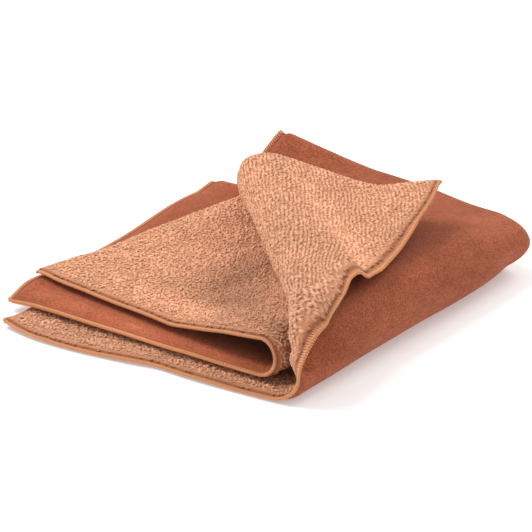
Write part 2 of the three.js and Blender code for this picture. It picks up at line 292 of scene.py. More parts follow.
# Where the cloth looks darker (or, below zero, paler) than around it, on its pile side
# (1) or suede side (-1): the place on the flat cloth, the reach across and along, and
# how much. Along the crease the pale ones are fibres stroked flat, and the darker ones
# beside it are painted shade. Most others stand for shadow and bounced light that this
# plain studio doesn't give.
shaded_places = (
    (1, 232, 262, 16, 26, 0.6),
    (1, 205, 282, 24, 14, 0.5),
    (1, 180, 296, 30, 12, 0.4),
    (1, 150, 302, 12, 8, 0.5),
    (1, 222, 298, 26, 7, -0.5),
    (1, 255, 200, 26, 30, 0.12),
    (1, 60, 12, 90, 16, 0.25),
    (1, 127, 17, 11, 8, 0.7),
    (1, 152, 9, 6, 14, -0.2),
    (1, 272, 46, 6, 6, -0.3),
    (1, 264, 37, 6, 6, -0.45),
    (1, 254, 28, 6, 6, -0.5),
    (1, 244, 20, 6, 6, -0.5),
    (1, 234, 12, 6, 6, -0.5),
    (1, 224, 5, 6, 6, -0.5),
    (1, 238, 42, 10, 10, 0.2),
    (1, 222, 27, 10, 10, 0.2),
    (1, 282, 34, 9, 9, 0.1),
    (1, 185, 14, 26, 22, 0.14),
    (1, 262, 92, 16, 26, -0.06),
    (-1, 75, 303, 60, 14, -1.1),
    (-1, 185, 296, 40, 24, 0.9),
    (-1, 150, 300, 14, 24, 0.6),
    (-1, 125, 295, 26, 8, 1.1),
)


def fold_mesh(name, mesh):
    """Folds a mesh made flat. It keeps its flat place and its distance from the edge."""
    flat = np.empty(3 * len(mesh.vertices))
    mesh.vertices.foreach_get("co", flat)
    flat = flat.reshape(-1, 3)
    place = mesh.attributes.new("laid_flat", "FLOAT_VECTOR", "POINT")
    place.data.foreach_set("vector", flat.ravel())
    inset = mesh.attributes.new("from_edge", "FLOAT", "POINT")
    inset.data.foreach_set("value", edge_distance(flat[:, 0], flat[:, 1]))
    shaded = np.zeros(len(flat))
    for side, to_side, to_back, reach_across, reach_along, amount in shaded_places:
        aside = (flat[:, 0] / mm - to_side) / reach_across
        ahead = (flat[:, 1] / mm - to_back) / reach_along
        shaded += amount * (flat[:, 2] * side > 0) * np.exp(-(aside**2) - ahead**2)
    mesh.attributes.new("shaded", "FLOAT", "POINT").data.foreach_set("value", shaded)
    mesh.vertices.foreach_set("co", folded(flat).ravel())
    mesh.polygons.foreach_set("use_smooth", [True] * len(mesh.polygons))
    mesh.update()
    mesh.name = name
    piece = bpy.data.objects.new(name, mesh)
    bpy.context.scene.collection.objects.link(piece)
    return piece


def edge_distance(across, along):
    """How far in from the nearest edge of the flat cloth."""
    return np.minimum(
        np.minimum(across, cloth_width - across), np.minimum(along, cloth_length - along)
    )


def ply_lines(length, step):
    """Grid lines along one side of the flat cloth, close together at the seams."""
    near = np.array([0.85, 1.6, 2.2, 2.6, 2.9, 3.2, 3.7, 4.4, 5.4, 6.8]) * mm
    count = math.ceil((length - 2 * near[-1]) / step)
    middle = np.linspace(near[-1], length - near[-1], count + 1)
    return np.concatenate([near[:-1], middle, length - near[-2::-1]])


def ply_mesh(name, step, lower, upper):
    """A ply, flat: a closed slab on a fine grid, between two offsets from the bond."""
    across_lines, along_lines = ply_lines(cloth_width, step), ply_lines(cloth_length, step)
    across, along = np.meshgrid(across_lines, along_lines, indexing="ij")
    across, along = across.ravel(), along.ravel()
    inward = edge_distance(across, along)
    sheets = [np.stack([across, along, side(inward)], axis=-1) for side in (lower, upper)]
    points = np.concatenate(sheets)
    top = len(across)
    index = np.arange(top).reshape(len(across_lines), len(along_lines))
    a, b = index[:-1, :-1].ravel(), index[1:, :-1].ravel()
    c, d = index[1:, 1:].ravel(), index[:-1, 1:].ravel()
    faces = [np.stack([a, d, c, b], axis=-1), np.stack([a, b, c, d], axis=-1) + top]
    front, back = index[:, 0], index[:, -1]
    left, right = index[0, :], index[-1, :]
    for line in (front, back[::-1], left[::-1], right):
        start, end = line[:-1], line[1:]
        faces.append(np.stack([start, end, end + top, start + top], axis=-1))
    mesh = bpy.data.meshes.new(name)
    mesh.from_pydata(points.tolist(), [], np.concatenate(faces).tolist())
    return mesh


def put(tree, kind, feeds=(), **settings):
    """Adds a node to a tree and feeds its inputs with values or with other nodes' outputs."""
    node = tree.nodes.new(kind)
    for key, value in settings.items():
        setattr(node, key, value)
    for socket, value in feeds:
        if isinstance(value, bpy.types.NodeSocket):
            tree.links.new(value, node.inputs[socket])
        else:
            node.inputs[socket].default_value = value
    return node


def new_material(name):
    material = bpy.data.materials.new(name)
    material.use_nodes = True
    material.node_tree.nodes.clear()
    return material, material.node_tree


def attribute(tree, name, output="Fac"):
    return put(tree, "ShaderNodeAttribute", attribute_name=name).outputs[output]


def mapped(tree, value, from_range, to_range=(0.0, 1.0), **settings):
    """A value carried over from one range to another."""
    feeds = [("Value", value), ("From Min", from_range[0]), ("From Max", from_range[1])]
    feeds += [("To Min", to_range[0]), ("To Max", to_range[1])]
    return put(tree, "ShaderNodeMapRange", feeds, **settings).outputs[0]


def noise(tree, scale, detail, roughness=0.5, place=None):
    """Soft noise, over a point's own place unless another is given."""
    feeds = [("Scale", scale), ("Detail", detail), ("Roughness", roughness)]
    if place is not None:
        feeds.append(("Vector", place))
    return put(tree, "ShaderNodeTexNoise", feeds).outputs


def combined(tree, x=0.0, y=0.0, z=0.0):
    return put(tree, "ShaderNodeCombineXYZ", [("X", x), ("Y", y), ("Z", z)]).outputs[0]


def vector_maths(tree, operation, first, second):
    feeds = [(0, first), (1, second)]
    return put(tree, "ShaderNodeVectorMath", feeds, operation=operation).outputs[0]


def cloth_mottle():
    """Shader group: uneven dyeing and brushing, coarse and fine, over the flat cloth."""
    group = bpy.data.node_groups.new("cloth_mottle", "ShaderNodeTree")
    for name in ("Patch Scale", "Grain Scale", "Streak"):
        group.interface.new_socket(name, in_out="INPUT", socket_type="NodeSocketFloat")
    for name in ("Patches", "Grain"):
        group.interface.new_socket(name, in_out="OUTPUT", socket_type="NodeSocketFloat")
    given = put(group, "NodeGroupInput").outputs
    place = attribute(group, "laid_flat", "Vector")
    stretch = combined(group, 1.0, given["Streak"], 1.0)
    streaked = vector_maths(group, "MULTIPLY", place, stretch)
    patches = noise(group, given["Patch Scale"], 3.0, 0.55, streaked)[0]
    grain = noise(group, given["Grain Scale"], 4.0, 0.7, place)[0]
    put(group, "NodeGroupOutput", [("Patches", patches), ("Grain", grain)])
    return group


mottle = cloth_mottle()


def use_mottle(tree, patch_scale=1.0, grain_scale=1.0, streak=1.0):
    feeds = [("Patch Scale", patch_scale), ("Grain Scale", grain_scale), ("Streak", streak)]
    return put(tree, "ShaderNodeGroup", feeds, node_tree=mottle).outputs


def ramp(tree, factor, stops):
    node = put(tree, "ShaderNodeValToRGB", [("Fac", factor)])
    bar = node.color_ramp
    while len(bar.elements) < len(stops):
        bar.elements.new(0.5)
    for element, (position, colour) in zip(bar.elements, stops):
        element.position = position
        element.color = (*colour, 1)
    return node.outputs["Color"]


def tinted(tree, base, *tints):
    """A colour darkened or lightened by others, one after another."""
    for tint in tints:
        feeds = [("Factor", 1.0), (6, base), (7, tint)]
        mix = put(tree, "ShaderNodeMix", feeds, data_type="RGBA", blend_type="MULTIPLY")
        base = mix.outputs[2]
    return base


unchanged = (1.0, 1.0, 1.0)


def seam_shade_tint(tree, seam_range, in_seam):
    """Painted shade inside the seam, between the wraps and in the groove along them, gone past
    it.
    """
    past_seam = mapped(tree, attribute(tree, "from_edge"), seam_range)
    return ramp(tree, past_seam, [(0.0, in_seam), (1.0, unchanged)])


def shade_tint(tree):
    """The tint of the shaded places, from the palest to the darkest."""
    share = mapped(tree, attribute(tree, "shaded"), (-1.0, 1.0))
    stops = [(0.0, (1.4, 1.46, 1.5)), (0.5, unchanged), (1.0, (0.42, 0.35, 0.31))]
    return ramp(tree, share, stops)


def finish_fabric(tree, colour, grain, bump_strength, bump_depth, sheen):
    """Ends a fabric's material: its colour, its grain as a bump, and how it takes light."""
    feeds = [("Strength", bump_strength), ("Distance", bump_depth), ("Height", grain)]
    bump = put(tree, "ShaderNodeBump", feeds)
    feeds = [("Base Color", colour), ("Normal", bump.outputs[0]), *sheen]
    skin = put(tree, "ShaderNodeBsdfPrincipled", feeds)
    put(tree, "ShaderNodeOutputMaterial", [("Surface", skin.outputs[0])])


def suede_finish():
    """Brushed suede: a short, even nap, with faint streaks and flecks where it was stroked."""
    material, tree = new_material("suede_nap")
    look = use_mottle(tree, patch_scale=38.0, grain_scale=1700.0, streak=0.45)
    flecks = use_mottle(tree, patch_scale=260.0, streak=0.6)
    stops = [(0.3, (0.305, 0.079, 0.036)), (0.7, (0.395, 0.110, 0.052))]
    nap = ramp(tree, look["Patches"], stops)
    stops = [(0.38, (0.62, 0.59, 0.56)), (0.62, (1.32, 1.34, 1.36))]
    grain = ramp(tree, look["Grain"], stops)
    stops = [(0.32, (0.90, 0.88, 0.86)), (0.68, (1.08, 1.08, 1.09))]
    fleck = ramp(tree, flecks["Patches"], stops)
    # Painted shade: the suede darker between the wraps and just past them.
    seam_shade = seam_shade_tint(tree, (2.0 * mm, 2.8 * mm), (0.85, 0.85, 0.85))
    colour = tinted(tree, nap, grain, fleck, seam_shade, shade_tint(tree))
    sheen = [
        ("Roughness", 0.95),
        ("Specular IOR Level", 0.1),
        ("Sheen Weight", 0.2),
        ("Sheen Roughness", 0.5),
        ("Sheen Tint", (1.0, 0.62, 0.48, 1.0)),
    ]
    finish_fabric(tree, colour, look["Grain"], 0.5, 0.5 * mm, sheen)
    return material


suede_grid_step = 1.6 * mm
nap_in_seam = 0.3 * mm
nap_past_seam = 1.7 * mm
nap_run = (1.9 * mm, 3.4 * mm)


def suede_face(inward):
    """The nap's surface: pressed thin in the seam, and full a few millimetres past it."""
    return -bond_gap - nap_in_seam - nap_past_seam * soft_step(inward, *nap_run)


def suede_back(inward):
    return 0 * inward - bond_gap


suede_mesh = ply_mesh("suede_cloth", suede_grid_step, suede_face, suede_back)
suede_ply = fold_mesh("suede_cloth", suede_mesh)
suede_ply.data.materials.append(suede_finish())
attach(suede_ply, "root")
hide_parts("suede_ply")


# The pile ply: a knitted microfibre backing with rows of soft loops standing on it.
# The rows run at a slant to the cloth's edges. The loops are pressed down towards the
# overlock seam and lean at random after washing.
row_angle = math.radians(22.5)
row_spacing = 1.5 * mm
loop_pitch = 1.2 * mm
loop_foot = 0.95 * mm
loop_height = 0.62 * mm
loop_width = 1.35 * mm
yarn_radius = 0.46 * mm
yarn_spread = 1.5
missing_share = 0.05
hidden_thinning = 1.45
pile_inset = 2.1 * mm
# How much the rows wander, and how far a loop strays, in shares of its piece's stray.
row_drift = 2.2 * mm
row_drift_scale = 80.0
stray_range = ((-1.0, -1.0, -0.25), (1.0, 1.0, 0.25))
# Where the seam rubs, clumps of loops are worn away.
worn_range = (3.5 * mm, 6.5 * mm)
clump_scale = 330.0
clump_level = 0.59
# Next to the seam the loops are pressed down. Elsewhere their height, size and lean
# differ from place to place and from loop to loop.
pressed_range = (2.0 * mm, 5.2 * mm)
pressed_height = 0.35
swell_scale = 130.0
swell_least, swell_more = 0.55, 0.9
size_range = ((0.7, 0.62, 0.7), (1.2, 1.2, 1.25))
lean_range = ((-0.4, -0.35, -1.0), (0.4, 0.35, 1.0))


def tree_with(name, **inputs):
    """An empty geometry tree with inputs named by kind, and one geometry output."""
    tree = bpy.data.node_groups.new(name, "GeometryNodeTree")
    for kind, labels in inputs.items():
        for label in labels:
            tree.interface.new_socket(label, in_out="INPUT", socket_type="NodeSocket" + kind)
    tree.interface.new_socket("Geometry", in_out="OUTPUT", socket_type="NodeSocketGeometry")
    return tree, put(tree, "NodeGroupInput").outputs


def close_tree(tree, geometry, material):
    """Ends a tree: its copies are made real and given their material."""
    real = put(tree, "GeometryNodeRealizeInstances", [(0, geometry)])
    feeds = [("Geometry", real.outputs[0]), ("Material", material)]
    dressed = put(tree, "GeometryNodeSetMaterial", feeds)
    put(tree, "NodeGroupOutput", [(0, dressed.outputs[0])])


def maths(tree, operation, first, second=0.0):
    feeds = [(0, first), (1, second)]
    return put(tree, "ShaderNodeMath", feeds, operation=operation).outputs[0]


def grown(tree, name, **values):
    """The mesh that a geometry tree makes from its inputs' values."""
    carrier = bpy.data.objects.new(name, bpy.data.meshes.new(name))
    bpy.context.scene.collection.objects.link(carrier)
    modifier = carrier.modifiers.new(name, "NODES")
    modifier.node_group = tree
    for item in tree.interface.items_tree:
        label = item.name.replace(" ", "_").lower()
        if item.in_out == "INPUT" and label in values:
            modifier[item.identifier] = values[label]
    seen = carrier.evaluated_get(bpy.context.evaluated_depsgraph_get())
    mesh = bpy.data.meshes.new_from_object(seen)
    bpy.data.objects.remove(carrier)
    return mesh


def split(tree, vector):
    return put(tree, "ShaderNodeSeparateXYZ", [(0, vector)]).outputs


def own_place(tree):
    """The X, Y and Z of each point."""
    return split(tree, put(tree, "GeometryNodeInputPosition").outputs[0])


def random_share(tree, seed):
    feeds = [(2, 0.0), (3, 1.0), ("Seed", seed)]
    return put(tree, "FunctionNodeRandomValue", feeds).outputs[1]


def random_vector(tree, low, high, seed):
    feeds = [(0, low), (1, high), ("Seed", seed)]
    return put(tree, "FunctionNodeRandomValue", feeds, data_type="FLOAT_VECTOR").outputs[0]


def shifted(tree, geometry, offset):
    feeds = [("Geometry", geometry), ("Offset", offset)]
    return put(tree, "GeometryNodeSetPosition", feeds).outputs[0]


def thread_along(tree, curve, sides, radius):
    """A round thread along a curve."""
    feeds = [("Resolution", sides), ("Radius", radius)]
    outline = put(tree, "GeometryNodeCurvePrimitiveCircle", feeds)
    feeds = [("Curve", curve), ("Profile Curve", outline.outputs[0])]
    return put(tree, "GeometryNodeCurveToMesh", feeds).outputs[0]


def loop_rows_tree():
    """Geometry tree: the loops of one patch, in slanting rows on the flat cloth."""
    tree, given = tree_with(
        "pile_loop_rows",
        Vector=("Centre", "Low Corner", "High Corner"),
        Int=("Loops In Row", "Rows", "Yarn Sides", "Loop Steps", "Seed"),
        Float=(
            "Row Angle",
            "Row Spacing",
            "Loop Pitch",
            "Loop Height",
            "Loop Width",
            "Yarn Radius",
            "Yarn Spread",
            "Stray",
            "Twist",
            "Missing",
            "Worn At Seam",
            "Cloth Width",
            "Cloth Length",
        ),
        Material=("Material",),
    )

    def seed(step):
        return maths(tree, "ADD", given["Seed"], step)

    pitches = maths(tree, "SUBTRACT", given["Loops In Row"], 1.0)
    spacings = maths(tree, "SUBTRACT", given["Rows"], 1.0)
    grid = put(
        tree,
        "GeometryNodeMeshGrid",
        [
            ("Size X", maths(tree, "MULTIPLY", pitches, given["Loop Pitch"])),
            ("Size Y", maths(tree, "MULTIPLY", spacings, given["Row Spacing"])),
            ("Vertices X", given["Loops In Row"]),
            ("Vertices Y", given["Rows"]),
        ],
    )
    index = put(tree, "GeometryNodeInputIndex").outputs[0]
    odd = maths(tree, "MODULO", maths(tree, "MODULO", index, given["Rows"]), 2.0)
    half_pitch = maths(tree, "MULTIPLY", given["Loop Pitch"], 0.5)
    stagger = combined(tree, maths(tree, "MULTIPLY", odd, half_pitch))
    stray = random_vector(tree, *stray_range, given["Seed"])
    feeds = [(0, stray), ("Scale", given["Stray"])]
    stray = put(tree, "ShaderNodeVectorMath", feeds, operation="SCALE").outputs[0]
    points = shifted(tree, grid.outputs[0], vector_maths(tree, "ADD", stagger, stray))
    turned = put(
        tree,
        "GeometryNodeTransform",
        [
            ("Geometry", points),
            ("Translation", given["Centre"]),
            ("Rotation", combined(tree, z=given["Row Angle"])),
        ],
    )
    swirl = noise(tree, row_drift_scale, 1.0)["Color"]
    drift = vector_maths(tree, "SUBTRACT", swirl, (0.5, 0.5, 0.5))
    drift = vector_maths(tree, "MULTIPLY", drift, (row_drift, row_drift, 0.0))
    drifted = shifted(tree, turned.outputs[0], drift)

    seat = own_place(tree)
    low, high = split(tree, given["Low Corner"]), split(tree, given["High Corner"])
    to_edges = []
    for axis, extent in (("X", "Cloth Width"), ("Y", "Cloth Length")):
        to_far_edge = maths(tree, "SUBTRACT", given[extent], seat[axis])
        to_edges.append(maths(tree, "MINIMUM", seat[axis], to_far_edge))
    from_edge = maths(tree, "MINIMUM", *to_edges)
    worn = mapped(tree, from_edge, worn_range, (1.0, 0.0))
    worn = maths(tree, "MULTIPLY", worn, given["Worn At Seam"])
    clumped = maths(tree, "GREATER_THAN", noise(tree, clump_scale, 1.0)[0], clump_level)
    gone = maths(tree, "ADD", given["Missing"], maths(tree, "MULTIPLY", worn, clumped))
    outside = maths(tree, "LESS_THAN", random_share(tree, seed(4.0)), gone)
    for axis in ("X", "Y"):
        below = maths(tree, "LESS_THAN", seat[axis], low[axis])
        beyond = maths(tree, "GREATER_THAN", seat[axis], high[axis])
        outside = maths(tree, "ADD", outside, maths(tree, "ADD", below, beyond))
    feeds = [("Geometry", drifted), ("Selection", outside)]
    kept = put(tree, "GeometryNodeDeleteGeometry", feeds)

    half_width = maths(tree, "MULTIPLY", given["Loop Width"], 0.5)
    arch = put(
        tree,
        "GeometryNodeCurveQuadraticBezier",
        [
            ("Resolution", given["Loop Steps"]),
            ("Start", combined(tree, maths(tree, "MULTIPLY", half_width, -1.0))),
            ("Middle", combined(tree, z=maths(tree, "MULTIPLY", given["Loop Height"], 2.0))),
            ("End", combined(tree, half_width)),
        ],
    )
    loop = thread_along(tree, arch.outputs[0], given["Yarn Sides"], given["Yarn Radius"])
    feeds = [("Geometry", loop), ("Scale", combined(tree, 1.0, given["Yarn Spread"], 1.0))]
    spread = put(tree, "GeometryNodeTransform", feeds)

    pressed = mapped(
        tree,
        from_edge,
        pressed_range,
        (pressed_height, 1.0),
        interpolation_type="SMOOTHSTEP",
    )
    tall = maths(tree, "MULTIPLY", noise(tree, swell_scale, 1.0)[0], swell_more)
    tall = maths(tree, "ADD", tall, swell_least)
    size = random_vector(tree, *size_range, seed(1.0))
    height = combined(tree, 1.0, 1.0, maths(tree, "MULTIPLY", pressed, tall))
    lean = random_vector(tree, *lean_range, seed(2.0))
    lean = vector_maths(tree, "MULTIPLY", lean, combined(tree, 1.0, 1.0, given["Twist"]))
    loops = put(
        tree,
        "GeometryNodeInstanceOnPoints",
        [
            ("Points", kept.outputs[0]),
            ("Instance", spread.outputs[0]),
            ("Rotation", vector_maths(tree, "ADD", lean, combined(tree, z=given["Row Angle"]))),
            ("Scale", vector_maths(tree, "MULTIPLY", size, height)),
        ],
    )
    toned = put(
        tree,
        "GeometryNodeStoreNamedAttribute",
        [
            ("Geometry", loops.outputs[0]),
            ("Name", "yarn_tone"),
            ("Value", random_share(tree, seed(3.0))),
        ],
        data_type="FLOAT",
        domain="INSTANCE",
    )
    close_tree(tree, toned.outputs[0], given["Material"])
    return tree


def pile_finish():
    """Looped pile: pale at the loops' crowns, brown down at the backing as painted shade."""
    material, tree = new_material("looped_pile")
    look = use_mottle(tree, patch_scale=60.0, grain_scale=2600.0)
    # The pile darkens from its crowns down to the backing: painted shade in the pits between the
    # loops.
    off_bond = split(tree, attribute(tree, "laid_flat", "Vector"))["Z"]
    depth = mapped(tree, off_bond, (0.9 * mm, 2.0 * mm))
    stops = [(0.0, (0.46, 0.185, 0.09)), (0.5, (0.74, 0.36, 0.205)), (1.0, (0.90, 0.515, 0.325))]
    body = ramp(tree, depth, stops)
    stops = [(0.0, (0.88, 0.86, 0.84)), (1.0, (1.06, 1.06, 1.06))]
    shade = ramp(tree, attribute(tree, "yarn_tone"), stops)
    stops = [(0.3, (0.92, 0.90, 0.89)), (0.7, (1.06, 1.06, 1.06))]
    worn = ramp(tree, look["Patches"], stops)
    # Painted shade: the pile and backing darker between the wraps and in the groove beside them.
    seam_shade = seam_shade_tint(tree, (2.2 * mm, 3.2 * mm), (0.88, 0.80, 0.76))
    colour = tinted(tree, body, shade, worn, seam_shade, shade_tint(tree))
    sheen = [
        ("Roughness", 0.9),
        ("Specular IOR Level", 0.2),
        ("Sheen Weight", 0.25),
        ("Sheen Roughness", 0.5),
        ("Sheen Tint", (1.0, 0.84, 0.72, 1.0)),
    ]
    finish_fabric(tree, colour, look["Grain"], 0.5, 0.3 * mm, sheen)
    return material


backing_grid_step = 2.2 * mm
backing_in_seam = 0.2 * mm
backing_past_seam = 0.9 * mm
backing_run = (1.5 * mm, 1.0 * mm)


def backing_face(inward):
    return bond_gap + backing_in_seam + backing_past_seam * soft_step(inward, *backing_run)


def backing_back(inward):
    return 0 * inward + bond_gap


pile = pile_finish()
backing_mesh = ply_mesh("pile_backing", backing_grid_step, backing_back, backing_face)
backing = fold_mesh("pile_backing", backing_mesh)
backing.data.materials.append(pile)


def lattice_over(low, high, pitch, spacing):
    """The centre and the counts of loops and rows that cover a patch, on one lattice for all."""
    sine, cosine = math.sin(row_angle), math.cos(row_angle)
    x, y = (low[0] + high[0]) / 2, (low[1] + high[1]) / 2
    width, length = high[0] - low[0], high[1] - low[1]
    in_row = pitch * round((x * cosine + y * sine) / pitch)
    over_rows = 2 * spacing * round((y * cosine - x * sine) / (2 * spacing))
    loops_in_row = 2 * math.ceil((width * cosine + length * sine) / 2 / pitch) + 5
    rows = 4 * math.ceil((width * sine + length * cosine) / 4 / spacing) + 5
    centre = (in_row * cosine - over_rows * sine, in_row * sine + over_rows * cosine, loop_foot)
    return centre, loops_in_row, rows


loop_rows = loop_rows_tree()


def grow_pile(name, low, high, pitch, spacing, **look):
    """One piece of the pile, grown over a patch of the flat cloth and folded with it."""
    centre, loops_in_row, rows = lattice_over(low, high, pitch, spacing)
    patch = grown(
        loop_rows,
        name,
        centre=centre,
        low_corner=(*low, 0.0),
        high_corner=(*high, 0.0),
        loops_in_row=loops_in_row,
        rows=rows,
        row_angle=row_angle,
        row_spacing=spacing,
        loop_pitch=pitch,
        cloth_width=cloth_width,
        cloth_length=cloth_length,
        material=pile,
        **look,
    )
    return fold_mesh(name, patch)


fold_across, fold_along = cloth_width / 2, cloth_length / 2
far_across, far_along = cloth_width - pile_inset, cloth_length - pile_inset
covered, at_front, at_loop = 190 * mm, 262 * mm, 100 * mm
lowest_split, third_split = 50 * mm, 206 * mm
near_split, far_split = 54 * mm, 104 * mm
# Each kind of patch: whether it shows, how far its loops stray from their rows and how
# far they twist, and how much is worn at the seam. Where other layers cover the pile,
# its loops are fewer and plainer.
hidden = (False, 0.4 * mm, 0.6, 0.8)
low_down = (True, 0.45 * mm, 1.4, 0.8)
on_top = (True, 0.5 * mm, 1.6, 0.8)
turned_back = (True, 0.32 * mm, 0.7, 0.2)
# Each patch of loops: its name, its corners on the flat cloth, and its kind.
patches = (
    ("pile_loops_lowest_front", (pile_inset, pile_inset), (fold_across, lowest_split), low_down),
    ("pile_loops_lowest_back", (pile_inset, lowest_split), (fold_across, fold_along), hidden),
    ("pile_loops_second_back", (pile_inset, fold_along), (fold_across, at_front), hidden),
    ("pile_loops_second_front", (pile_inset, at_front), (at_loop, far_along), hidden),
    ("pile_loops_second_bend", (at_loop, at_front), (fold_across, far_along), low_down),
    ("pile_loops_third_covered", (fold_across, fold_along), (covered, at_front), hidden),
    ("pile_loops_third_back", (covered, fold_along), (far_across, third_split), on_top),
    ("pile_loops_third_middle", (covered, third_split), (far_across, at_front), on_top),
    ("pile_loops_third_front", (fold_across, at_front), (far_across, far_along), on_top),
    ("pile_loops_corner_front", (fold_across, pile_inset), (far_across, near_split), turned_back),
    ("pile_loops_corner_middle", (fold_across, near_split), (far_across, far_split), turned_back),
    ("pile_loops_corner_back", (fold_across, far_split), (far_across, fold_along), turned_back),
)
loops = []
for seed, (name, low, high, kind) in enumerate(patches):
    shows, stray, twist, worn_at_seam = kind
    thinning = 1.0 if shows else hidden_thinning
    piece = grow_pile(
        name,
        low,
        high,
        thinning * loop_pitch,
        thinning * row_spacing,
        loop_height=loop_height,
        loop_width=thinning * loop_width,
        yarn_radius=yarn_radius,
        yarn_spread=thinning * yarn_spread,
        yarn_sides=4 if shows else 3,
        loop_steps=5 if shows else 3,
        stray=stray,
        twist=twist,
        missing=missing_share,
        worn_at_seam=worn_at_seam,
        seed=10 * seed,
    )
    loops.append(piece)

# Single filaments that washing pulled out of the loops stand above them, where it shows.
filament_pitch = 1.6 * mm
filament_height = 1.15 * mm
filament_width = 1.7 * mm
filament_radius = 0.055 * mm
filament_stray = 1.2 * mm
filament_twist = 3.14
filament_share = 0.55
first_filament_seed = 500
filament_patches = (
    ("stray_filaments_lowest", (pile_inset, pile_inset), (fold_across, 24 * mm)),
    ("stray_filaments_third", (covered, fold_along), (far_across, far_along)),
    ("stray_filaments_corner", (fold_across, pile_inset), (far_across, fold_along)),
)
for seed, (name, low, high) in enumerate(filament_patches):
    piece = grow_pile(
        name,
        low,
        high,
        filament_pitch,
        filament_pitch,
        loop_height=filament_height,
        loop_width=filament_width,
        yarn_radius=filament_radius,
        yarn_spread=1.0,
        yarn_sides=3,
        loop_steps=3,
        stray=filament_stray,
        twist=filament_twist,
        missing=1 - filament_share,
        worn_at_seam=0.0,
        seed=first_filament_seed + 10 * seed,
    )
    loops.append(piece)

for piece in (backing, *loops):
    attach(piece, "root")
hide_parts("pile_ply")


# The looper threads: soft polyester wound over the cloth's edge by the overlock
# machine. Two coils of it, a wide one and a narrow one of the same pitch, bind the raw
# edge and lean a little along it, and short ones close each corner.
seam_width = 2.4 * mm
# Each coil: its width, the pitch and height of its wraps, the thread's radius, and the
# points round a wrap.
looper_coils = (
    (2.0 * mm, 0.98 * mm, 0.45 * mm, 0.29 * mm, 12),
    (1.0 * mm, 0.98 * mm, 0.44 * mm, 0.33 * mm, 8),
)
wrap_lean = 0.4
wrap_power = 0.6
thread_sides = 5
corner_cut = 1.1 * mm
corner_coil_length = 3 * mm
corner_slant = 0.7


def overlock_tree():
    """Geometry tree: thread wound round a straight edge that lies along Y."""
    tree, given = tree_with(
        "overlock_wraps",
        Float=(
            "Edge Length",
            "Wrap Pitch",
            "Seam Width",
            "Wrap Height",
            "Wrap Lean",
            "Wrap Power",
            "Thread Radius",
        ),
        Int=("Wrap Points", "Thread Sides"),
        Material=("Material",),
    )
    turns = maths(tree, "DIVIDE", given["Edge Length"], given["Wrap Pitch"])
    coil = put(
        tree,
        "GeometryNodeCurveSpiral",
        [
            ("Resolution", given["Wrap Points"]),
            ("Rotations", maths(tree, "FLOOR", turns)),
            ("Start Radius", 1.0),
            ("End Radius", 1.0),
            ("Height", given["Edge Length"]),
        ],
    )
    seat = own_place(tree)
    squared = []
    for axis in ("X", "Y"):
        bulk = maths(tree, "POWER", maths(tree, "ABSOLUTE", seat[axis]), given["Wrap Power"])
        squared.append(maths(tree, "MULTIPLY", bulk, maths(tree, "SIGN", seat[axis])))
    half_seam = maths(tree, "MULTIPLY", given["Seam Width"], 0.5)
    reach = maths(tree, "SUBTRACT", half_seam, given["Thread Radius"])
    inward = maths(tree, "ADD", maths(tree, "MULTIPLY", squared[0], reach), half_seam)
    lean = maths(tree, "MULTIPLY", inward, given["Wrap Lean"])
    where = combined(
        tree,
        inward,
        maths(tree, "ADD", seat["Z"], lean),
        maths(tree, "MULTIPLY", squared[1], given["Wrap Height"]),
    )
    feeds = [("Geometry", coil.outputs[0]), ("Position", where)]
    wound = put(tree, "GeometryNodeSetPosition", feeds)
    wraps = thread_along(tree, wound.outputs[0], given["Thread Sides"], given["Thread Radius"])
    close_tree(tree, wraps, given["Material"])
    return tree


pile_side_height = 0.4 * mm
dulled_range = (1.1 * mm, 1.5 * mm)


def thread_finish(name, dark, light, inner_tint):
    """Polyester thread: fine twisted filaments, a soft sheen, and a duller inner pile side."""
    material, tree = new_material(name)
    grain = use_mottle(tree, grain_scale=3800.0)["Grain"]
    colour = ramp(tree, grain, [(0.3, dark), (0.7, light)])
    # The thread's inner part on the pile side is tinted duller and darker.
    off_bond = split(tree, attribute(tree, "laid_flat", "Vector"))["Z"]
    on_pile = maths(tree, "GREATER_THAN", off_bond, pile_side_height)
    inside = mapped(tree, attribute(tree, "from_edge"), dulled_range)
    dulled_part = maths(tree, "MULTIPLY", on_pile, inside)
    dulled = ramp(tree, dulled_part, [(0.0, unchanged), (1.0, inner_tint)])
    sheen = [
        ("Roughness", 0.62),
        ("Specular IOR Level", 0.3),
        ("Sheen Weight", 0.2),
        ("Sheen Roughness", 0.4),
    ]
    colour = tinted(tree, colour, dulled, shade_tint(tree))
    finish_fabric(tree, colour, grain, 0.4, 0.2 * mm, sheen)
    return material


# Each edge of the flat cloth: its name, its length, and where a point lies that is
# so far in from the edge and so far along it.
edges = (
    ("left", cloth_length, lambda inset, run: (inset, run)),
    ("right", cloth_length, lambda inset, run: (cloth_width - inset, cloth_length - run)),
    ("first", cloth_width, lambda inset, run: (cloth_width - run, inset)),
    ("last", cloth_width, lambda inset, run: (run, cloth_length - inset)),
)


def lay_along(mesh, place, height, start):
    """Moves a mesh made along the Y axis, X inward, onto an edge of the flat cloth."""
    points = np.empty(3 * len(mesh.vertices))
    mesh.vertices.foreach_get("co", points)
    inset, run, offset = points.reshape(-1, 3).T
    across, along = place(inset, run + start)
    across = np.clip(across, 0, cloth_width)
    along = np.clip(along, 0, cloth_length)
    laid = np.stack([across, along, offset + height], axis=-1)
    mesh.vertices.foreach_set("co", laid.ravel())
    return mesh


def joined(meshes):
    """One mesh out of several."""
    whole = bmesh.new()
    for mesh in meshes:
        whole.from_mesh(mesh)
    united = meshes[0].copy()
    whole.to_mesh(united)
    whole.free()
    return united


def across_corner(inset, run):
    """Puts a coil's point on the diagonal over the corner where an edge starts."""
    middle = run - corner_coil_length / 2
    inset = inset + corner_cut
    return (inset + middle) * corner_slant, (inset - middle) * corner_slant


